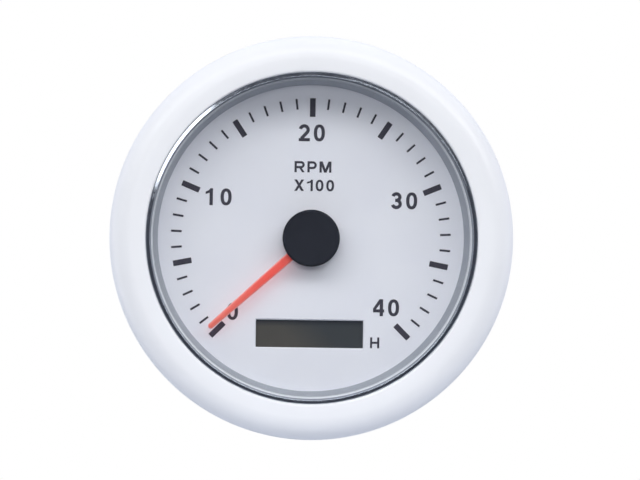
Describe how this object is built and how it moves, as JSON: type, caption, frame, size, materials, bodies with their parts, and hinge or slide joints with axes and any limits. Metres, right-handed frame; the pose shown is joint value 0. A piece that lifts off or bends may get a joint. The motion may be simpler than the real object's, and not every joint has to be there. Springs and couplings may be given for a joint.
{
  "type": "panel tachometer",
  "caption": "Round panel tachometer with a domed white bezel, flat glass, printed dial, red pointer and hour-meter window, held by a rear clamp bracket.",
  "frame": {"origin": "on the dial's axis, in the plane of the panel's front, where the gasket's rear face seats", "axes": "the dial faces -Y, its 20 mark is towards +Z and +X is to the reader's right; +Y points behind the panel"},
  "size_m": [0.096, 0.0732, 0.096],
  "materials": {
    "white_plastic": "satin",
    "polished_trim": "polished",
    "clear_glass": "polished",
    "seal_grey": "matte",
    "black_rubber": "matte",
    "grey_plastic": "satin",
    "dial_white": "matte",
    "dial_ink": "matte",
    "pointer_red": "satin",
    "ivory_plastic": "satin",
    "cap_black": "matte",
    "bright_steel": "satin",
    "gear_plastic": "satin",
    "ferrite": "matte",
    "motor_plastic": "matte",
    "laminations": "matte",
    "copper_wire": "gloss",
    "tinned_brass": "satin",
    "clear_acrylic": "gloss",
    "box_white": "matte",
    "display_glass": "polished",
    "frame_grey": "matte",
    "board_green": "satin",
    "lamp_cream": "satin",
    "chip_black": "matte",
    "capacitor_can": "satin",
    "switch_black": "matte",
    "switch_cream": "satin",
    "case_black": "matte",
    "button_grey": "satin",
    "vent_grey": "matte",
    "thread_brass": "satin"
  },
  "bodies": {
    "housing": {"bezel": "white_plastic", "trim_ring": "polished_trim", "lens": "clear_glass", "lens_seal": "seal_grey", "panel_gasket": "black_rubber", "lcd_connectors": "black_rubber", "spacer_ring": "grey_plastic", "dial": "dial_white", "dial_ticks": "dial_ink", "dial_numerals": "dial_ink", "dial_lettering": "dial_ink", "coil_bobbins": "ivory_plastic", "board_screws": "bright_steel", "crystal": "bright_steel", "motor_front_shell": "motor_plastic", "motor_rear_shell": "motor_plastic", "stator_core": "laminations", "coil_windings": "copper_wire", "motor_pins": "tinned_brass", "blade_terminals": "tinned_brass", "light_guide": "clear_acrylic", "light_box": "box_white", "lcd_glass": "display_glass", "lcd_frame": "frame_grey", "circuit_board": "board_green", "backlight_leds": "lamp_cream", "microcontroller": "chip_black", "voltage_regulator": "chip_black", "capacitors": "capacitor_can", "switch_body": "switch_black", "rear_case": "case_black", "terminal_block": "case_black", "vent_plug": "vent_grey", "mounting_studs": "thread_brass"},
    "pointer": {"pointer": "pointer_red", "pointer_bush": "ivory_plastic", "hub_cap": "cap_black", "output_shaft": "bright_steel", "output_gear": "gear_plastic"},
    "intermediate": {"intermediate_gear": "gear_plastic", "intermediate_pinion": "gear_plastic"},
    "rotor": {"rotor_pinion": "gear_plastic", "rotor_magnet": "ferrite"},
    "button": {"calibration_button": "button_grey", "switch_plunger": "switch_cream"},
    "bracket": {"clamp_bracket": "bright_steel", "clamp_washers": "bright_steel"},
    "nut_left": {"clamp_nut_left": "thread_brass"},
    "nut_right": {"clamp_nut_right": "thread_brass"}
  },
  "joints": [
    {"name": "rotor_turn", "type": "hinge", "parent": "housing", "child": "rotor", "pos_m": [0, 0.0165, -0.015], "axis": [0, 1, 0], "range_deg": [-540, 48060]},
    {"name": "intermediate_turn", "type": "hinge", "parent": "housing", "child": "intermediate", "pos_m": [-0.00542, 0.0155, -0.00869], "axis": [0, 1, 0], "range_deg": [-4005, 45]},
    {"name": "pointer_sweep", "type": "hinge", "parent": "housing", "child": "pointer", "pos_m": [0, 0.01, 0], "axis": [0, 1, 0], "range_deg": [-3, 267]},
    {"name": "calibration_press", "type": "slide", "parent": "housing", "child": "button", "axis": [0, -1, 0], "range_m": [0, 0.0006], "stiffness_N_per_m": 2600, "springref_m": -0.0004},
    {"name": "clamp_slide", "type": "slide", "parent": "housing", "child": "bracket", "axis": [0, 1, 0], "range_m": [-0.005, 0.005]},
    {"name": "nut_left_turn", "type": "hinge", "parent": "bracket", "child": "nut_left", "pos_m": [-0.024, 0.0558, 0], "axis": [0, 1, 0], "range_deg": [-2571, 2571]},
    {"name": "nut_right_turn", "type": "hinge", "parent": "bracket", "child": "nut_right", "pos_m": [0.024, 0.0558, 0], "axis": [0, 1, 0], "range_deg": [-2571, 2571]}
  ],
  "couplings": [
    {"joint": "intermediate_turn", "follows": "rotor_turn", "ratio": -0.083333},
    {"joint": "pointer_sweep", "follows": "rotor_turn", "ratio": 0.0055556},
    {"joint": "nut_left_turn", "follows": "clamp_slide", "rad_per_m": 8976},
    {"joint": "nut_right_turn", "follows": "clamp_slide", "rad_per_m": 8976}
  ]
}
